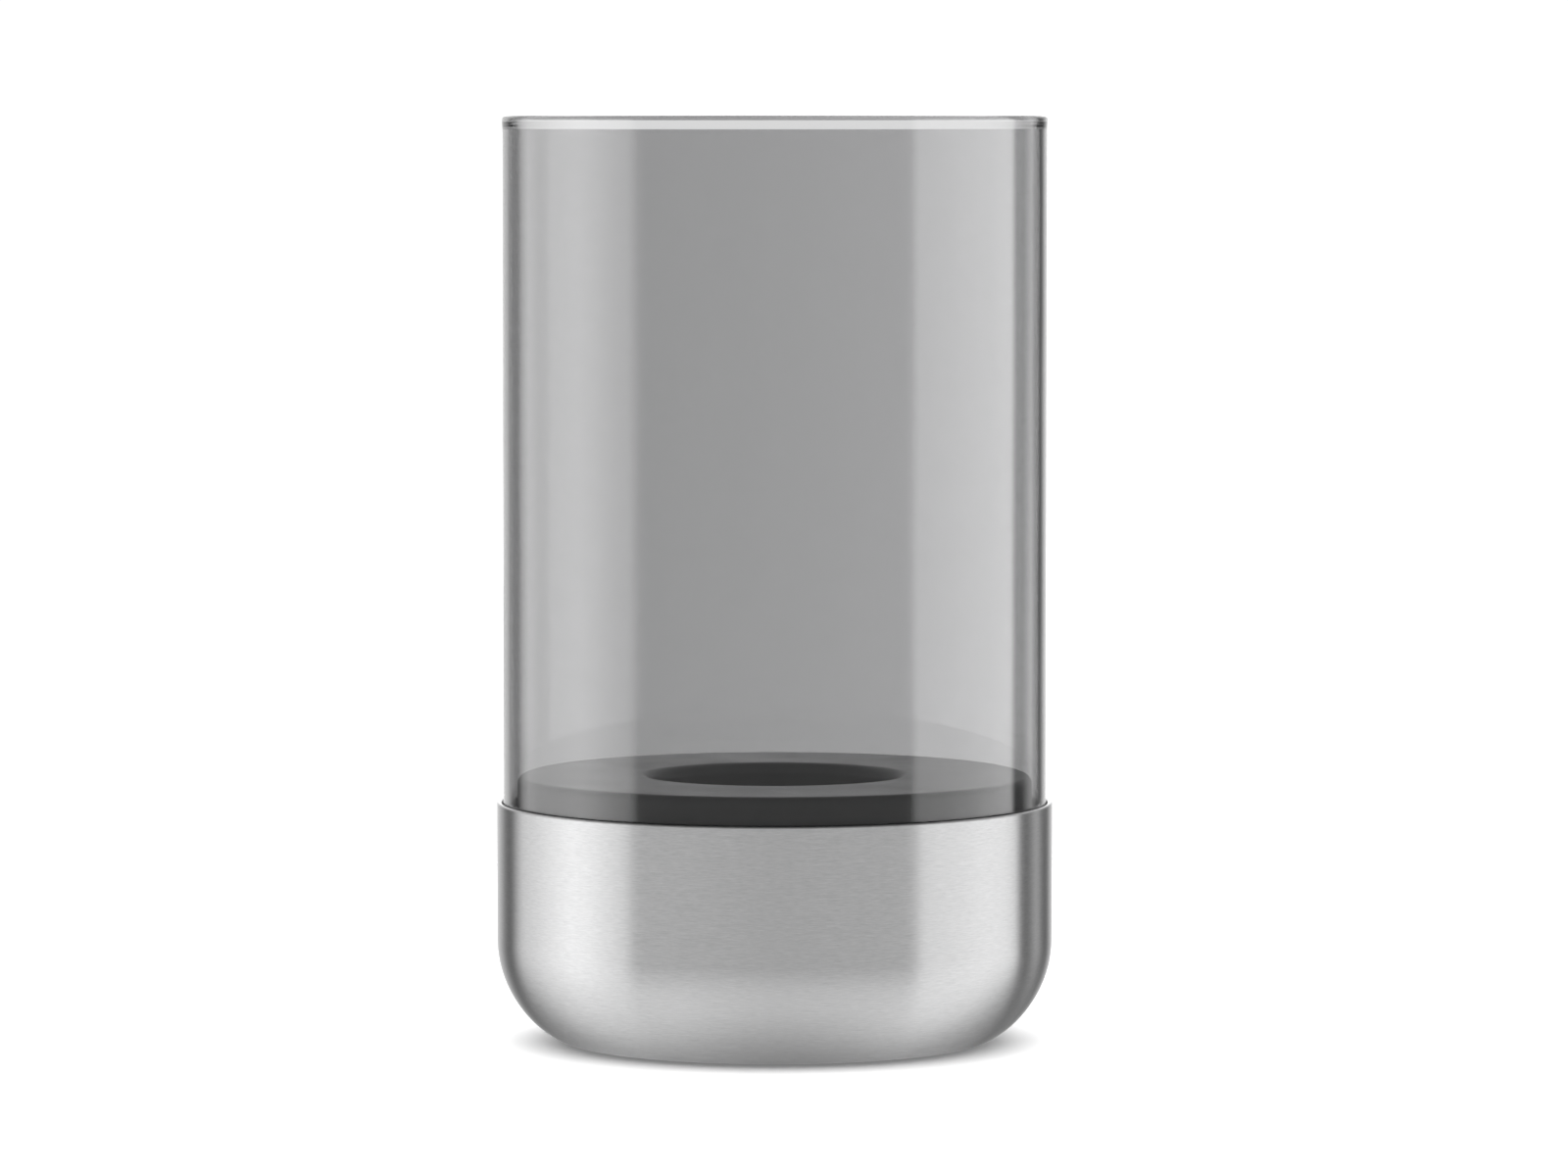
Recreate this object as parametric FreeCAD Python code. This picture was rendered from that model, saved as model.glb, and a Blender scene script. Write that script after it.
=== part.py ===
"""Glass cylinder lantern: a smoked glass tube standing in a deep-drawn steel bowl.

Four turned pieces on one vertical axis, in millimetres.  +Z is up, the origin is the
centre of the rest face, and the front of the lantern looks along -Y.
"""
import FreeCAD, Part
import math
import os

from FreeCAD import Vector

# ---- driving dimensions ------------------------------------------------------------
BOWL_OUTER_R = 47.5          # outside of the steel bowl's straight wall
SHEET = 0.8                  # stainless steel sheet thickness
LIP_Z = 41.2                 # top edge of the bowl
BOWL_FOOT_Z = 0.3            # underside of the bowl's standing ring, held up by the pad
CORNER_R_UPPER = 19.5        # drawn corner: large radius next to the wall
CORNER_R_LOWER = 6.0         # drawn corner: small radius next to the flat bottom
CORNER_TURN_DEG = 58.0       # share of the 90 degree turn taken by the upper radius
RECESS_OUTER_R = 32.0        # where the bottom starts to rise into its shallow recess
RECESS_DEPTH = 0.9

GLASS_OUTER_R = 46.45
GLASS_WALL = 1.25
RIM_Z = 158.2                # top of the glass
BEAD_HEIGHT = 2.2            # fire-polished rim, slightly thicker than the wall
BEAD_FULL_DEPTH = 0.8        # distance below the top where the bead is thickest
BEAD_OUTWARD = 0.08
BEAD_INWARD = 0.14

LEDGE_Z = 35.2               # ledge that carries the glass, inside the bowl
BOSS_TOP_Z = 45.8            # top of the insert
BOSS_R = 44.0                # boss that stands up inside the glass
SKIRT_R = 46.45              # skirt that centres the insert in the bowl
SKIRT_BOTTOM_Z = 21.0
INSERT_WALL = 3.0
WELL_R = 21.0                # candle well
WELL_DEPTH = 16.0
WELL_EDGE_R = 2.0
BOSS_EDGE_R = 1.2

PAD_R = 30.0
PAD_THICKNESS = BOWL_FOOT_Z + RECESS_DEPTH


def corner_arc(before, corner, after, radius):
    """Tangent arc that rounds one corner of a profile, as (start, middle, end) points."""
    back = (before - corner).normalize()
    ahead = (after - corner).normalize()
    half_angle = back.getAngle(ahead) / 2
    reach = radius / math.tan(half_angle)
    bisector = (back + ahead).normalize()
    centre = corner + bisector * (radius / math.sin(half_angle))
    middle = centre - bisector * radius
    return corner + back * reach, middle, corner + ahead * reach


def profile_face(points):
    """Closed face in the XZ plane from (r, z, corner radius) points."""
    corners = [Vector(r, 0, z) for r, z, _ in points]
    count = len(points)
    edges = []
    stops = []
    for i, (_, _, radius) in enumerate(points):
        if radius > 0:
            stops.append(corner_arc(corners[i - 1], corners[i], corners[(i + 1) % count], radius))
        else:
            stops.append((corners[i], None, corners[i]))
    for i, (start, middle, end) in enumerate(stops):
        if middle is not None:
            edges.append(Part.Arc(start, middle, end).toShape())
        following = stops[(i + 1) % count][0]
        if (following - end).Length > 1e-5:
            edges.append(Part.LineSegment(end, following).toShape())
    return Part.Face(Part.Wire(edges))


def turned(points):
    """Solid of revolution about Z from a profile."""
    solid = profile_face(points).revolve(Vector(0, 0, 0), Vector(0, 0, 1), 360)
    if solid.Volume < 0:
        solid.reverse()
    return solid


def steel_bowl():
    """Deep-drawn bowl: straight wall, soft corner, flat bottom with a shallow recess."""
    turn = math.radians(CORNER_TURN_DEG)
    upper_reach = CORNER_R_UPPER * math.tan(turn / 2)
    lower_reach = CORNER_R_LOWER * math.tan((math.pi / 2 - turn) / 2)
    slope_length = upper_reach + lower_reach
    knee_z = BOWL_FOOT_Z + slope_length * math.cos(turn)
    foot_r = BOWL_OUTER_R - slope_length * math.sin(turn)
    # the same corners moved inwards by the sheet thickness
    inner_knee_z = knee_z + SHEET * math.tan(turn / 2)
    inner_foot_r = foot_r - SHEET * math.tan((math.pi / 2 - turn) / 2)
    ramp_shift = SHEET * math.tan(math.radians(22.5))
    recess_r = RECESS_OUTER_R - RECESS_DEPTH
    recess_z = BOWL_FOOT_Z + RECESS_DEPTH
    inner_r = BOWL_OUTER_R - SHEET
    lip_round = SHEET * 0.48
    return turned([
        (0, recess_z, 0),
        (recess_r, recess_z, 0.5),
        (RECESS_OUTER_R, BOWL_FOOT_Z, 0.8),
        (foot_r, BOWL_FOOT_Z, CORNER_R_LOWER),
        (BOWL_OUTER_R, knee_z, CORNER_R_UPPER),
        (BOWL_OUTER_R, LIP_Z, lip_round),
        (inner_r, LIP_Z, lip_round),
        (inner_r, inner_knee_z, CORNER_R_UPPER - SHEET),
        (inner_foot_r, BOWL_FOOT_Z + SHEET, CORNER_R_LOWER - SHEET),
        (RECESS_OUTER_R + ramp_shift, BOWL_FOOT_Z + SHEET, 0.3),
        (recess_r + ramp_shift, recess_z + SHEET, 0.8),
        (0, recess_z + SHEET, 0),
    ])


def foot_pad():
    """Anti-slip disc glued into the recess under the bowl; it stands just proud of the steel."""
    return turned([
        (0, 0, 0),
        (PAD_R, 0, 0.3),
        (PAD_R, PAD_THICKNESS, 0.2),
        (0, PAD_THICKNESS, 0),
    ])


def candle_insert():
    """Moulded silicone insert: boss and ledge for the glass, skirt, candle well on a stem."""
    well_floor_z = BOSS_TOP_Z - WELL_DEPTH
    stem_r = WELL_R + INSERT_WALL
    stem_foot_z = BOWL_FOOT_Z + RECESS_DEPTH + SHEET
    deck_under_z = BOSS_TOP_Z - INSERT_WALL
    shoulder_r = BOSS_R - INSERT_WALL
    ledge_under_z = LEDGE_Z - INSERT_WALL
    skirt_inner_r = SKIRT_R - INSERT_WALL
    return turned([
        (0, well_floor_z, 0),
        (WELL_R, well_floor_z, 1.0),
        (WELL_R, BOSS_TOP_Z, WELL_EDGE_R),
        (BOSS_R, BOSS_TOP_Z, BOSS_EDGE_R),
        (BOSS_R, LEDGE_Z, 0.4),
        (SKIRT_R, LEDGE_Z, 0.4),
        (SKIRT_R, SKIRT_BOTTOM_Z, 0.8),
        (skirt_inner_r, SKIRT_BOTTOM_Z, 0.8),
        (skirt_inner_r, ledge_under_z, 1.0),
        (shoulder_r, ledge_under_z, 1.0),
        (shoulder_r, deck_under_z, 1.5),
        (stem_r, deck_under_z, 1.5),
        (stem_r, stem_foot_z, 0.6),
        (WELL_R, stem_foot_z, 0.6),
        (WELL_R, well_floor_z - INSERT_WALL, 1.0),
        (0, well_floor_z - INSERT_WALL, 0),
    ])


def glass_cylinder():
    """Straight drawn tube, open at both ends, with a beaded top rim and rounded foot."""
    inner_r = GLASS_OUTER_R - GLASS_WALL
    bead_outer_r = GLASS_OUTER_R + BEAD_OUTWARD
    bead_inner_r = inner_r - BEAD_INWARD
    bead_start_z = RIM_Z - BEAD_HEIGHT
    bead_full_z = RIM_Z - BEAD_FULL_DEPTH
    rim_round = (bead_outer_r - bead_inner_r) * 0.45
    foot_round = GLASS_WALL * 0.35
    return turned([
        (GLASS_OUTER_R, LEDGE_Z, foot_round),
        (GLASS_OUTER_R, bead_start_z, 3.0),
        (bead_outer_r, bead_full_z, 1.5),
        (bead_outer_r, RIM_Z, rim_round),
        (bead_inner_r, RIM_Z, rim_round),
        (bead_inner_r, bead_full_z, 1.5),
        (inner_r, bead_start_z, 3.0),
        (inner_r, LEDGE_Z, foot_round),
    ])


PIECES = {
    "steel_bowl": steel_bowl,
    "foot_pad": foot_pad,
    "candle_insert": candle_insert,
    "glass_cylinder": glass_cylinder,
}

os.makedirs("parts", exist_ok=True)
for name, build in PIECES.items():
    shape = build()
    shape.exportStep(f"parts/{name}.step")
    box = shape.optimalBoundingBox(False)
    print(f"{name}: valid {shape.isValid()}, {len(shape.Solids)} solid, {shape.Volume / 1000:.1f} cm3, "
          f"r {box.XMax:.2f}, z {box.ZMin:.2f} to {box.ZMax:.2f}")
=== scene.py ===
"""Glass cylinder lantern: a smoked glass tube on a silicone insert in a brushed steel bowl."""
import math

import bmesh
import bpy
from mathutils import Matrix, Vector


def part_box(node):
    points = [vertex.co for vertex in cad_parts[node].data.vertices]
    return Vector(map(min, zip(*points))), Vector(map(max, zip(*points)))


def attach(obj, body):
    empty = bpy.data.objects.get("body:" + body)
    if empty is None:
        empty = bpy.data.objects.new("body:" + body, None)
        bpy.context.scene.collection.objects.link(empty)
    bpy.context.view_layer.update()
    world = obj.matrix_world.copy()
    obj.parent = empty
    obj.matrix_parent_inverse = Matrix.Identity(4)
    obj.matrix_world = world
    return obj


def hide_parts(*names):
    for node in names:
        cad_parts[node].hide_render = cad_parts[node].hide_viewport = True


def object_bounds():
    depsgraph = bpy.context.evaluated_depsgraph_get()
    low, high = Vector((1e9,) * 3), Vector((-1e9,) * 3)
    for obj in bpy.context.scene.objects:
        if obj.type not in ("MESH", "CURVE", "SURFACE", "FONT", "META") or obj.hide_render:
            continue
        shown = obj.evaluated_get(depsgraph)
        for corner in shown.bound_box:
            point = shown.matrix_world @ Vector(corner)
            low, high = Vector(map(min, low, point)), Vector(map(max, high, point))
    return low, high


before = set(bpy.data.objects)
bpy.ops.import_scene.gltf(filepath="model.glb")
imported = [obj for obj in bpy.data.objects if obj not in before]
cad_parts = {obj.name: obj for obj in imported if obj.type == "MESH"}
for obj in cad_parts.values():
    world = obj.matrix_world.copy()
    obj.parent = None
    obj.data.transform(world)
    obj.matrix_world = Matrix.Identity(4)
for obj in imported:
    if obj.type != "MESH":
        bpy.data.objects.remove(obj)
cad_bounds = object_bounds()


# ---- steel bowl ----------------------------------------------------------------------
# The base is a bowl deep-drawn from stainless sheet, with a straight wall, a soft lower
# corner and a shallow recess pressed up under the bottom. Its open lip is rounded, and
# it is brushed on a lathe, so that the grain runs round the axis everywhere.
FACETS = 192
MERGE_DISTANCE = 1e-6
PICK_REACH = 2e-5


def turned_radius(node):
    """Largest distance of a CAD node from the vertical axis."""
    return max(v.co.xy.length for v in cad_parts[node].data.vertices)


def start_turning(name, radius, height):
    """Puts down the first ring of a turned piece and leaves it selected in edit mode."""
    bpy.ops.object.select_all(action="DESELECT")
    bpy.ops.mesh.primitive_circle_add(vertices=FACETS, radius=radius, location=(0, 0, height))
    bpy.ops.object.transform_apply(location=True, rotation=True, scale=True)
    piece = bpy.context.active_object
    piece.name = name
    piece.data.name = name
    bpy.ops.object.mode_set(mode="EDIT")
    bpy.ops.mesh.select_all(action="SELECT")
    return piece


def pull_rings(rings):
    """Extrudes the selected ring from each (radius, height) to the next one."""
    for (radius, height), (next_radius, next_height) in zip(rings, rings[1:]):
        bpy.ops.mesh.extrude_edges_move(
            TRANSFORM_OT_translate={"value": (0, 0, next_height - height)})
        spread = next_radius / radius
        bpy.ops.transform.resize(value=(spread, spread, 1), center_override=(0, 0, 0))


def pick_ring(radius, height):
    """Selects the ring of edges that lies at one radius and height."""
    bpy.ops.mesh.select_all(action="DESELECT")
    bpy.ops.mesh.select_mode(type="EDGE")
    mesh = bpy.context.edit_object.data
    shape = bmesh.from_edit_mesh(mesh)
    for edge in shape.edges:
        ends = edge.verts
        misses = [math.hypot(v.co.xy.length - radius, v.co.z - height) for v in ends]
        if max(misses) < PICK_REACH:
            edge.select_set(True)
    bmesh.update_edit_mesh(mesh)


def close_pole(radius, height):
    """Closes the hole inside a ring with a flat fan."""
    pick_ring(radius, height)
    bpy.ops.mesh.extrude_edges_move()
    bpy.ops.mesh.merge(type="CENTER")


def round_ring(ring, turn_deg, bend, steps):
    """Rounds one ring of a profile, which turns by turn_deg there, to a radius of bend."""
    half = math.radians(turn_deg) / 2
    sagitta = (1 / math.cos(half) - 1) / math.tan(half)
    fullness = (1 - sagitta / (2 * math.sin(half))) ** 2
    pick_ring(*ring)
    bpy.ops.mesh.bevel(offset=bend * math.tan(half), segments=steps, profile=fullness,
                       affect="EDGES", clamp_overlap=False)


def finish_turning(piece):
    """Faces outwards, smooth shading, and flats that stay flat beside their roundings."""
    bpy.ops.mesh.select_all(action="SELECT")
    bpy.ops.mesh.remove_doubles(threshold=MERGE_DISTANCE)
    bpy.ops.mesh.normals_make_consistent(inside=False)
    bpy.ops.object.mode_set(mode="OBJECT")
    bpy.ops.object.shade_smooth()
    bpy.ops.object.modifier_add(type="WEIGHTED_NORMAL")
    bpy.ops.object.modifier_apply(modifier=piece.modifiers[-1].name)


def new_material(name):
    """A new material, with its node tree and its Principled shader."""
    material = bpy.data.materials.new(name)
    material.use_nodes = True
    return material, material.node_tree, material.node_tree.nodes["Principled BSDF"]


def add_node(tree, kind, inputs=None, **settings):
    """Adds a node, sets its properties, and sets or joins its inputs."""
    node = tree.nodes.new(kind)
    for setting, value in settings.items():
        setattr(node, setting, value)
    for socket, value in (inputs or {}).items():
        if isinstance(value, bpy.types.NodeSocket):
            tree.links.new(value, node.inputs[socket])
        else:
            node.inputs[socket].default_value = value
    return node


bowl_low, bowl_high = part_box("steel_bowl")
BOWL_R = turned_radius("steel_bowl")
BOWL_FOOT, BOWL_LIP = bowl_low.z, bowl_high.z
SHEET = 0.0008
LIP_ROUND = SHEET * 0.48
CORNER_TURN = 58.0
CORNER_R_UPPER = 0.0195
CORNER_R_LOWER = 0.006
RECESS_R = 0.0320
RECESS_DEPTH = 0.0009
RECESS_SLOPE = 45
RECESS_ROUND = 0.0005
RECESS_EDGE_ROUND = 0.0008
RAMP_ROUND = 0.0003
FLOOR_ROUND = 0.0008

upper_half = math.radians(CORNER_TURN / 2)
lower_half = math.radians(90 - CORNER_TURN) / 2
slope = CORNER_R_UPPER * math.tan(upper_half) + CORNER_R_LOWER * math.tan(lower_half)
knee = (BOWL_R, BOWL_FOOT + slope * math.cos(2 * upper_half))
foot = (BOWL_R - slope * math.sin(2 * upper_half), BOWL_FOOT)
ramp_shift = SHEET * math.tan(math.radians(RECESS_SLOPE / 2))
recess = (RECESS_R - RECESS_DEPTH, BOWL_FOOT + RECESS_DEPTH)
recess_edge = (RECESS_R, BOWL_FOOT)
lip_outside = (BOWL_R, BOWL_LIP)
lip_inside = (BOWL_R - SHEET, BOWL_LIP)
knee_inside = (BOWL_R - SHEET, knee[1] + SHEET * math.tan(upper_half))
foot_inside = (foot[0] - SHEET * math.tan(lower_half), BOWL_FOOT + SHEET)
ramp_inside = (RECESS_R + ramp_shift, BOWL_FOOT + SHEET)
floor_inside = (recess[0] + ramp_shift, recess[1] + SHEET)
bowl_rings = [recess, recess_edge, foot, knee, lip_outside, lip_inside,
              knee_inside, foot_inside, ramp_inside, floor_inside]

bowl = start_turning("brushed_bowl", *bowl_rings[0])
pull_rings(bowl_rings)
close_pole(*recess)
close_pole(*floor_inside)
round_ring(recess, RECESS_SLOPE, RECESS_ROUND, steps=4)
round_ring(recess_edge, RECESS_SLOPE, RECESS_EDGE_ROUND, steps=4)
round_ring(foot, 90 - CORNER_TURN, CORNER_R_LOWER, steps=12)
round_ring(knee, CORNER_TURN, CORNER_R_UPPER, steps=28)
round_ring(lip_outside, 90, LIP_ROUND, steps=8)
round_ring(lip_inside, 90, LIP_ROUND, steps=8)
round_ring(knee_inside, CORNER_TURN, CORNER_R_UPPER - SHEET, steps=20)
round_ring(foot_inside, 90 - CORNER_TURN, CORNER_R_LOWER - SHEET, steps=8)
round_ring(ramp_inside, RECESS_SLOPE, RAMP_ROUND, steps=3)
round_ring(floor_inside, RECESS_SLOPE, FLOOR_ROUND, steps=4)
finish_turning(bowl)


def turned_grain(tree, across, along):
    """Noise coordinates for streaks that run round the axis.

    across is how many cells a metre holds over the streaks. along stretches them: the
    coordinates go once round a circle of that radius."""
    place = add_node(tree, "ShaderNodeTexCoord").outputs["Object"]
    flat = add_node(tree, "ShaderNodeVectorMath", {0: place, 1: (1, 1, 0)}, operation="MULTIPLY")
    radius = add_node(tree, "ShaderNodeVectorMath", {0: flat.outputs[0]}, operation="LENGTH")
    round_axis = add_node(tree, "ShaderNodeVectorMath", {0: flat.outputs[0]}, operation="NORMALIZE")
    height = add_node(tree, "ShaderNodeSeparateXYZ", {0: place}).outputs["Z"]
    profile = add_node(tree, "ShaderNodeMath", {0: radius.outputs["Value"], 1: height},
                       operation="ADD")
    lift = add_node(tree, "ShaderNodeCombineXYZ", {"Z": profile.outputs[0]})
    turn = add_node(tree, "ShaderNodeVectorMath", {0: round_axis.outputs[0], "Scale": along},
                    operation="SCALE")
    climb = add_node(tree, "ShaderNodeVectorMath", {0: lift.outputs[0], "Scale": across},
                     operation="SCALE")
    return add_node(tree, "ShaderNodeVectorMath", {0: turn.outputs[0], 1: climb.outputs[0]},
                    operation="ADD").outputs[0]


def brushed_steel():
    """Satin stainless: fine lathe brushing over broader streaks, with the gloss drawn across it."""
    material, tree, shader = new_material("brushed stainless steel")
    fine = add_node(tree, "ShaderNodeTexNoise",
                    {"Vector": turned_grain(tree, across=9000, along=30), "Scale": 1,
                     "Detail": 3, "Roughness": 0.6})
    broad = add_node(tree, "ShaderNodeTexNoise",
                     {"Vector": turned_grain(tree, across=2200, along=14), "Scale": 1,
                      "Detail": 4, "Roughness": 0.65})
    tone = add_node(tree, "ShaderNodeMix", {"Factor": 0.35, "A": fine.outputs["Fac"],
                                            "B": broad.outputs["Fac"]})
    colour = add_node(tree, "ShaderNodeValToRGB", {"Fac": tone.outputs["Result"]})
    colour.color_ramp.elements[0].position = 0.3
    colour.color_ramp.elements[0].color = (0.405, 0.406, 0.409, 1)
    colour.color_ramp.elements[1].position = 0.7
    colour.color_ramp.elements[1].color = (0.555, 0.555, 0.557, 1)
    gloss = add_node(tree, "ShaderNodeMapRange",
                     {"Value": broad.outputs["Fac"], "From Min": 0.3, "From Max": 0.7,
                      "To Min": 0.30, "To Max": 0.34})
    relief = add_node(tree, "ShaderNodeBump", {"Height": fine.outputs["Fac"], "Strength": 0.08,
                                               "Distance": 0.00002})
    around = add_node(tree, "ShaderNodeTangent", direction_type="RADIAL", axis="Z")
    tree.links.new(colour.outputs["Color"], shader.inputs["Base Color"])
    tree.links.new(gloss.outputs["Result"], shader.inputs["Roughness"])
    tree.links.new(relief.outputs["Normal"], shader.inputs["Normal"])
    tree.links.new(around.outputs["Tangent"], shader.inputs["Tangent"])
    shader.inputs["Metallic"].default_value = 1
    shader.inputs["Anisotropic"].default_value = 1
    shader.inputs["Anisotropic Rotation"].default_value = 0.25
    return material


bowl.data.materials.append(brushed_steel())
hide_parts("steel_bowl")
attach(bowl, "base")


# ---- foot pad ------------------------------------------------------------------------
# A thin disc of black foam rubber is glued into the recess under the bowl. It stands a
# little proud of the steel, and keeps the lantern from sliding or scratching the table.
PAD_R = turned_radius("foot_pad")
PAD_UNDER_ROUND = 0.0003
PAD_TOP_ROUND = 0.0002
pad_low, pad_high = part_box("foot_pad")
pad_under = (PAD_R, pad_low.z)
pad_top = (PAD_R, pad_high.z)

pad = start_turning("foam_foot_pad", *pad_under)
pull_rings([pad_under, pad_top])
close_pole(*pad_under)
close_pole(*pad_top)
round_ring(pad_under, 90, PAD_UNDER_ROUND, steps=4)
round_ring(pad_top, 90, PAD_TOP_ROUND, steps=3)
finish_turning(pad)


def foam_rubber():
    """Matt black closed-cell foam, with its fine cells in tone and relief."""
    material, tree, shader = new_material("black foam rubber")
    place = add_node(tree, "ShaderNodeTexCoord").outputs["Object"]
    cells = add_node(tree, "ShaderNodeTexVoronoi", {"Vector": place, "Scale": 2200},
                     feature="F1")
    tone = add_node(tree, "ShaderNodeValToRGB", {"Fac": cells.outputs["Distance"]})
    tone.color_ramp.elements[0].color = (0.028, 0.028, 0.029, 1)
    tone.color_ramp.elements[1].color = (0.06, 0.06, 0.062, 1)
    relief = add_node(tree, "ShaderNodeBump", {"Height": cells.outputs["Distance"],
                                               "Strength": 0.5, "Distance": 0.0001})
    tree.links.new(tone.outputs["Color"], shader.inputs["Base Color"])
    tree.links.new(relief.outputs["Normal"], shader.inputs["Normal"])
    shader.inputs["Roughness"].default_value = 0.85
    return material


pad.data.materials.append(foam_rubber())
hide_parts("foot_pad")
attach(pad, "base")


# ---- candle insert -------------------------------------------------------------------
# One black silicone moulding drops into the bowl. Its boss stands inside the glass and
# holds the candle well, its ledge carries the glass, and below it a skirt centres it in
# the bowl and a hollow stem takes the weight down to the floor.
insert_low, insert_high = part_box("candle_insert")
INSERT_R = turned_radius("candle_insert")
INSERT_WALL = 0.003
BOSS_R = 0.044
WELL_R = 0.021
WELL_DEPTH = 0.016
LEDGE_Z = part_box("glass_cylinder")[0].z
SKIRT_BOTTOM = 0.021
BOSS_TOP = insert_high.z
STEM_FOOT = insert_low.z
WELL_EDGE_ROUND = 0.002
BOSS_EDGE_ROUND = 0.0012
LEDGE_ROUND = 0.0004
SKIRT_ROUND = 0.0008
INNER_ROUND = 0.001
DECK_ROUND = 0.0015
STEM_ROUND = 0.0006

well_floor = (WELL_R, BOSS_TOP - WELL_DEPTH)
well_mouth = (WELL_R, BOSS_TOP)
boss_edge = (BOSS_R, BOSS_TOP)
boss_root = (BOSS_R, LEDGE_Z)
ledge_edge = (INSERT_R, LEDGE_Z)
skirt_edge = (INSERT_R, SKIRT_BOTTOM)
skirt_inner = (INSERT_R - INSERT_WALL, SKIRT_BOTTOM)
ledge_under = (INSERT_R - INSERT_WALL, LEDGE_Z - INSERT_WALL)
shoulder_under = (BOSS_R - INSERT_WALL, LEDGE_Z - INSERT_WALL)
deck_under = (BOSS_R - INSERT_WALL, BOSS_TOP - INSERT_WALL)
stem_root = (WELL_R + INSERT_WALL, BOSS_TOP - INSERT_WALL)
stem_foot = (WELL_R + INSERT_WALL, STEM_FOOT)
stem_inner = (WELL_R, STEM_FOOT)
web_under = (WELL_R, well_floor[1] - INSERT_WALL)
insert_rings = [well_floor, well_mouth, boss_edge, boss_root, ledge_edge, skirt_edge,
                skirt_inner, ledge_under, shoulder_under, deck_under, stem_root,
                stem_foot, stem_inner, web_under]

insert = start_turning("silicone_insert", *insert_rings[0])
pull_rings(insert_rings)
close_pole(*well_floor)
close_pole(*web_under)
round_ring(well_floor, 90, INNER_ROUND, steps=5)
round_ring(well_mouth, 90, WELL_EDGE_ROUND, steps=10)
round_ring(boss_edge, 90, BOSS_EDGE_ROUND, steps=8)
round_ring(boss_root, 90, LEDGE_ROUND, steps=3)
round_ring(ledge_edge, 90, LEDGE_ROUND, steps=4)
round_ring(skirt_edge, 90, SKIRT_ROUND, steps=5)
round_ring(skirt_inner, 90, SKIRT_ROUND, steps=5)
round_ring(ledge_under, 90, INNER_ROUND, steps=4)
round_ring(shoulder_under, 90, INNER_ROUND, steps=4)
round_ring(deck_under, 90, DECK_ROUND, steps=5)
round_ring(stem_root, 90, DECK_ROUND, steps=5)
round_ring(stem_foot, 90, STEM_ROUND, steps=4)
round_ring(stem_inner, 90, STEM_ROUND, steps=4)
round_ring(web_under, 90, INNER_ROUND, steps=4)
finish_turning(insert)


def black_silicone():
    """Matt moulded silicone: the fine grain of its mould, and a faint cloudy bloom."""
    material, tree, shader = new_material("black silicone")
    place = add_node(tree, "ShaderNodeTexCoord").outputs["Object"]
    grain = add_node(tree, "ShaderNodeTexNoise", {"Vector": place, "Scale": 2600, "Detail": 2,
                                                  "Roughness": 0.6})
    cloud = add_node(tree, "ShaderNodeTexNoise", {"Vector": place, "Scale": 90, "Detail": 5,
                                                  "Roughness": 0.6})
    tone = add_node(tree, "ShaderNodeValToRGB", {"Fac": cloud.outputs["Fac"]})
    tone.color_ramp.elements[0].position = 0.35
    tone.color_ramp.elements[0].color = (0.012, 0.012, 0.0125, 1)
    tone.color_ramp.elements[1].position = 0.72
    tone.color_ramp.elements[1].color = (0.021, 0.021, 0.0215, 1)
    gloss = add_node(tree, "ShaderNodeMapRange",
                     {"Value": cloud.outputs["Fac"], "From Min": 0.3, "From Max": 0.7,
                      "To Min": 0.33, "To Max": 0.41})
    relief = add_node(tree, "ShaderNodeBump", {"Height": grain.outputs["Fac"], "Strength": 0.05,
                                               "Distance": 0.00004})
    tree.links.new(tone.outputs["Color"], shader.inputs["Base Color"])
    tree.links.new(gloss.outputs["Result"], shader.inputs["Roughness"])
    tree.links.new(relief.outputs["Normal"], shader.inputs["Normal"])
    return material


insert.data.materials.append(black_silicone())
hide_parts("candle_insert")
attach(insert, "insert")


# ---- glass cylinder ------------------------------------------------------------------
# A straight drawn tube of smoked glass, open at both ends, stands on the insert's ledge.
# Its foot is ground and rounded; its rim is fire-polished, which leaves a slight bead.
glass_low, glass_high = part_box("glass_cylinder")
BEAD_R = turned_radius("glass_cylinder")
BEAD_OUTWARD = 0.00008
BEAD_INWARD = 0.00014
BEAD_HEIGHT = 0.0022
BEAD_FULL_DEPTH = 0.0008
BEAD_START_ROUND = 0.003
BEAD_FULL_ROUND = 0.0015
GLASS_R = BEAD_R - BEAD_OUTWARD
GLASS_WALL = 0.00125
RIM_Z = glass_high.z
BEAD_START = RIM_Z - BEAD_HEIGHT
BEAD_FULL = RIM_Z - BEAD_FULL_DEPTH
GLASS_INNER_R = GLASS_R - GLASS_WALL
BEAD_INNER_R = GLASS_INNER_R - BEAD_INWARD
FOOT_ROUND = GLASS_WALL * 0.35
RIM_ROUND = (BEAD_R - BEAD_INNER_R) * 0.45

glass_foot_outside = (GLASS_R, glass_low.z)
bead_outside = (GLASS_R, BEAD_START)
full_outside = (BEAD_R, BEAD_FULL)
rim_outside = (BEAD_R, RIM_Z)
rim_inside = (BEAD_INNER_R, RIM_Z)
full_inside = (BEAD_INNER_R, BEAD_FULL)
bead_inside = (GLASS_INNER_R, BEAD_START)
glass_foot_inside = (GLASS_INNER_R, glass_low.z)
outer_flare = math.degrees(math.atan2(BEAD_OUTWARD, BEAD_FULL - BEAD_START))
inner_flare = math.degrees(math.atan2(BEAD_INWARD, BEAD_FULL - BEAD_START))

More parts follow.
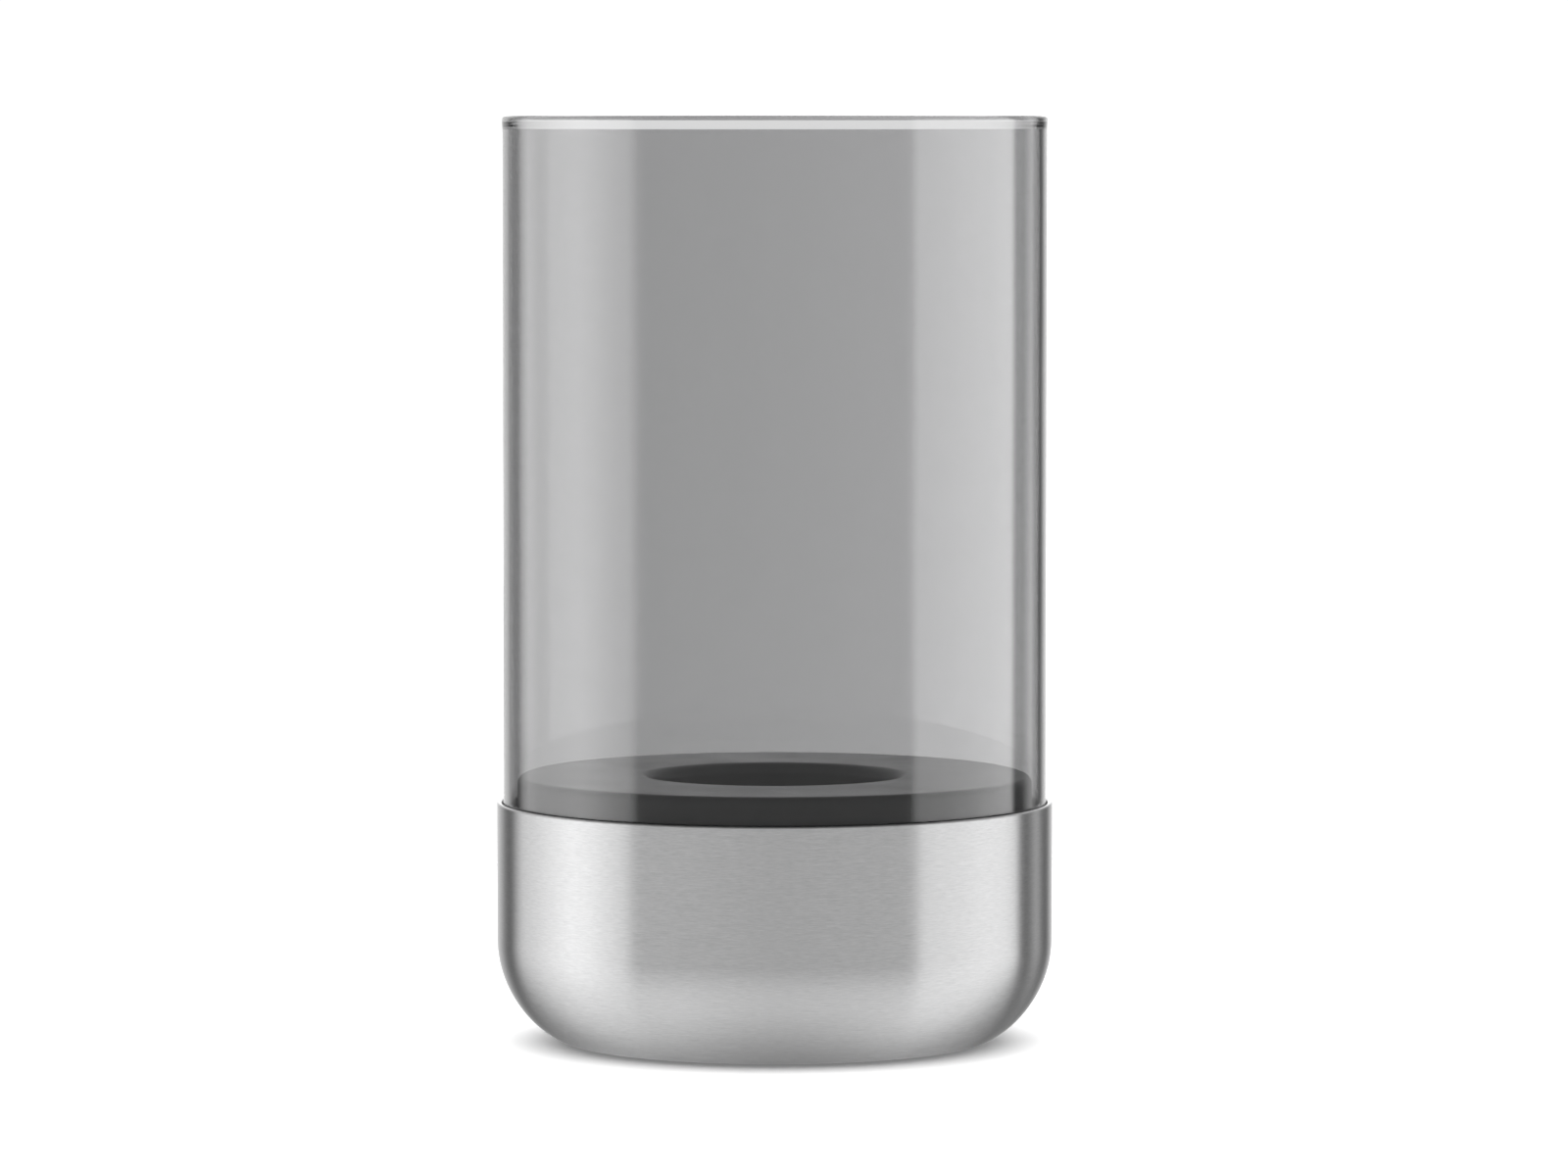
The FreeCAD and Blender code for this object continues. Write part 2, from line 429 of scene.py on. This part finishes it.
glass = start_turning("smoked_glass_tube", *glass_foot_outside)
pull_rings([glass_foot_outside, bead_outside, full_outside, rim_outside, rim_inside,
            full_inside, bead_inside, glass_foot_inside, glass_foot_outside])
bpy.ops.mesh.select_all(action="SELECT")
bpy.ops.mesh.remove_doubles(threshold=MERGE_DISTANCE)
round_ring(glass_foot_outside, 90, FOOT_ROUND, steps=6)
round_ring(glass_foot_inside, 90, FOOT_ROUND, steps=6)
round_ring(bead_outside, outer_flare, BEAD_START_ROUND, steps=4)
round_ring(bead_inside, inner_flare, BEAD_START_ROUND, steps=4)
round_ring(full_outside, outer_flare, BEAD_FULL_ROUND, steps=4)
round_ring(full_inside, inner_flare, BEAD_FULL_ROUND, steps=4)
round_ring(rim_outside, 90, RIM_ROUND, steps=10)
round_ring(rim_inside, 90, RIM_ROUND, steps=10)
finish_turning(glass)


def smoked_glass():
    """Neutral grey glass, with the faint waviness that drawing the tube leaves."""
    material, tree, shader = new_material("smoked glass")
    waves = add_node(tree, "ShaderNodeTexNoise",
                     {"Vector": turned_grain(tree, across=28, along=5), "Scale": 1, "Detail": 1})
    relief = add_node(tree, "ShaderNodeBump", {"Height": waves.outputs["Fac"], "Strength": 0.02,
                                               "Distance": 0.001})
    tree.links.new(relief.outputs["Normal"], shader.inputs["Normal"])
    shader.inputs["Base Color"].default_value = (0.57, 0.57, 0.573, 1)
    shader.inputs["Roughness"].default_value = 0
    shader.inputs["IOR"].default_value = 1.5
    shader.inputs["Transmission Weight"].default_value = 1
    return material


glass.data.materials.append(smoked_glass())
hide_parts("glass_cylinder")
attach(glass, "glass")


# ---- floor and light -----------------------------------------------------------------
# The lantern stands on a plain pale floor that runs out into white. The room round it is
# soft and grey, with a tall softbox on each side and white behind. The floor isn't seen in
# gloss or through the glass: there the light of the room stands for it.
FLOOR_R = 0.45
FADE_START = 0.12
FADE_END = 0.40

bpy.ops.object.select_all(action="DESELECT")
bpy.ops.mesh.primitive_circle_add(vertices=96, radius=FLOOR_R, fill_type="NGON",
                                  location=(0, 0, cad_bounds[0][2]))
floor = bpy.context.active_object
floor.name = "studio_floor"
floor_paint, floor_tree, floor_shader = new_material("pale floor")
floor_place = add_node(floor_tree, "ShaderNodeTexCoord").outputs["Object"]
floor_reach = add_node(floor_tree, "ShaderNodeVectorMath", {0: floor_place}, operation="LENGTH")
floor_fade = add_node(floor_tree, "ShaderNodeMapRange",
                      {"Value": floor_reach.outputs["Value"], "From Min": FADE_START,
                       "From Max": FADE_END, "To Min": 1, "To Max": 0},
                      interpolation_type="SMOOTHSTEP")
floor_shader.inputs["Base Color"].default_value = (0.9, 0.9, 0.9, 1)
floor_shader.inputs["Roughness"].default_value = 0.8
floor_shader.inputs["Specular IOR Level"].default_value = 0.1
floor_tree.links.new(floor_fade.outputs["Result"], floor_shader.inputs["Alpha"])
floor.data.materials.append(floor_paint)
floor.visible_glossy = False
floor.visible_transmission = False

studio = bpy.data.worlds.new("soft studio")
studio.use_nodes = True
bpy.context.scene.world = studio
sky = studio.node_tree
heading = add_node(sky, "ShaderNodeSeparateXYZ",
                   {0: add_node(sky, "ShaderNodeTexCoord").outputs["Generated"]})
towards_viewer = add_node(sky, "ShaderNodeMath", {0: heading.outputs["Y"], 1: -1},
                          operation="MULTIPLY")
bearing = add_node(sky, "ShaderNodeMath", {0: heading.outputs["X"], 1: towards_viewer.outputs[0]},
                   operation="ARCTAN2")
round_room = add_node(sky, "ShaderNodeMapRange",
                      {"Value": bearing.outputs[0], "From Min": -math.pi, "From Max": math.pi})
elevation = add_node(sky, "ShaderNodeMath", {0: heading.outputs["Z"]}, operation="ARCSINE")


def grey(level):
    """A neutral colour of one level."""
    return level, level, level, 1


def light_ring(levels):
    """Brightness by bearing, from (degrees, level) pairs.

    0 degrees points from the lantern to the viewer, and 90 to the viewer's right."""
    ring = add_node(sky, "ShaderNodeValToRGB", {"Fac": round_room.outputs["Result"]})
    stops = ring.color_ramp.elements
    while len(stops) < len(levels):
        stops.new(0.5)
    for stop, (degrees, level) in zip(stops, levels):
        stop.position = (degrees + 180) / 360
        stop.color = grey(level)
    return ring.outputs["Color"]


def rise(low, high):
    """0 below one elevation and 1 above another, both in degrees, with a soft step between."""
    return add_node(sky, "ShaderNodeMapRange",
                    {"Value": elevation.outputs[0], "From Min": math.radians(low),
                     "From Max": math.radians(high)},
                    interpolation_type="SMOOTHSTEP").outputs["Result"]


def mix_light(share, first, second):
    """One light where share is 0 and the other where it is 1."""
    return add_node(sky, "ShaderNodeMix", {"Factor": share, "A": first, "B": second},
                    data_type="RGBA").outputs["Result"]


# in gloss, below the horizon: a pale table, bright before and beside the lantern and dim
# behind it
underneath = light_ring([(-180, 0.25), (-165, 0.35), (-150, 0.2), (-140, 0.3), (-122, 1.25),
                         (-100, 1.5), (-70, 1.5), (-58, 1.7), (0, 1.5), (58, 1.56),
                         (70, 1.7), (100, 1.75), (116, 1.4), (124, 0.35), (150, 0.3),
                         (165, 0.3), (180, 0.25)])
# in gloss, at eye level: a dim room behind the viewer, a softbox at each side with dark
# gaps beyond it, and white behind the lantern
eye_level = light_ring([(-180, 2.8), (-171, 1.1), (-165, 0.8), (-156, 0.6), (-151, 0.3),
                        (-147, 0.18), (-140, 0.1), (-134, 0.9), (-128, 1.55), (-118, 1.7),
                        (-104, 2.4), (-91, 3.15), (-82, 3.0), (-64, 2.0), (-59, 0.5),
                        (0, 0.45), (59, 0.48), (63, 2.0), (78, 2.1), (98, 2.4), (112, 2.35),
                        (119.5, 2.05), (123, 0.15), (130, 0.12), (139, 0.8), (147, 0.2),
                        (155, 0.1), (163, 0.7), (171, 1.0), (180, 2.8)])
# in gloss, higher up: a ceiling that is dim over the viewer and brighter at the back
overhead = light_ring([(-180, 1.3), (-165, 1.1), (-150, 0.7), (-118, 0.8), (-80, 0.5),
                       (-58, 0.52), (0, 0.52), (58, 0.52), (80, 0.5), (116, 0.6), (150, 0.7),
                       (165, 1.1), (180, 1.3)])
# the three lie one over another, with dark straight above and grey straight below
DARK = grey(0.04)
room = mix_light(rise(5, 15), eye_level, overhead)
room = mix_light(rise(40, 58), room, DARK)
room = mix_light(rise(-19, -7), underneath, room)
room = mix_light(rise(-86, -42), grey(0.5), room)
# through the glass: a white sweep that grows a little brighter from left to right across
# the lantern, brighter above the horizon, and dark higher up
SWEEP_EDGE = 0.037
sweep_across = add_node(sky, "ShaderNodeMapRange",
                        {"Value": heading.outputs["X"], "From Min": -SWEEP_EDGE,
                         "From Max": SWEEP_EDGE, "To Min": 0.9, "To Max": 1.14})
sweep = mix_light(rise(0.5, 3), sweep_across.outputs["Result"], grey(1.25))
through_glass = mix_light(rise(5, 11), sweep, DARK)
ray = add_node(sky, "ShaderNodeLightPath")
shone = add_node(sky, "ShaderNodeMath", {0: ray.outputs["Glossy Depth"], 1: 0.5},
                 operation="GREATER_THAN")
seen = mix_light(shone.outputs[0], through_glass, room)
# what lights the matt surfaces: soft light, mostly from above
from_above = mix_light(rise(20, 45), grey(0.9), grey(2.6))
scattered = add_node(sky, "ShaderNodeMath", {0: ray.outputs["Diffuse Depth"], 1: 0.5},
                     operation="GREATER_THAN")
seen = mix_light(scattered.outputs[0], seen, from_above)
# seen directly: plain white
seen = mix_light(ray.outputs["Is Camera Ray"], seen, grey(1.06))
sky.links.new(seen, sky.nodes["Background"].inputs["Color"])
bpy.context.scene.view_settings.view_transform = "Standard"


# ---- camera --------------------------------------------------------------------------
# A long lens level with the rim of the glass, looking a little down onto the bowl.
CAMERA_DISTANCE = 1.251
CAMERA_HEIGHT = RIM_Z + 0.0001
CAMERA_PITCH = 3.69
LENS = 168.4
SENSOR_WIDTH = 36
SIDE_SHIFT = 0.006
camera_data = bpy.data.cameras.new("camera")
camera = bpy.data.objects.new("camera", camera_data)
bpy.context.scene.collection.objects.link(camera)
bpy.context.scene.camera = camera
camera.location = (0, -CAMERA_DISTANCE, CAMERA_HEIGHT)
camera.rotation_euler = (math.radians(90 - CAMERA_PITCH), 0, 0)
camera_data.sensor_width = SENSOR_WIDTH
camera_data.lens = LENS
camera_data.shift_x = SIDE_SHIFT
camera_data.clip_start = 0.01
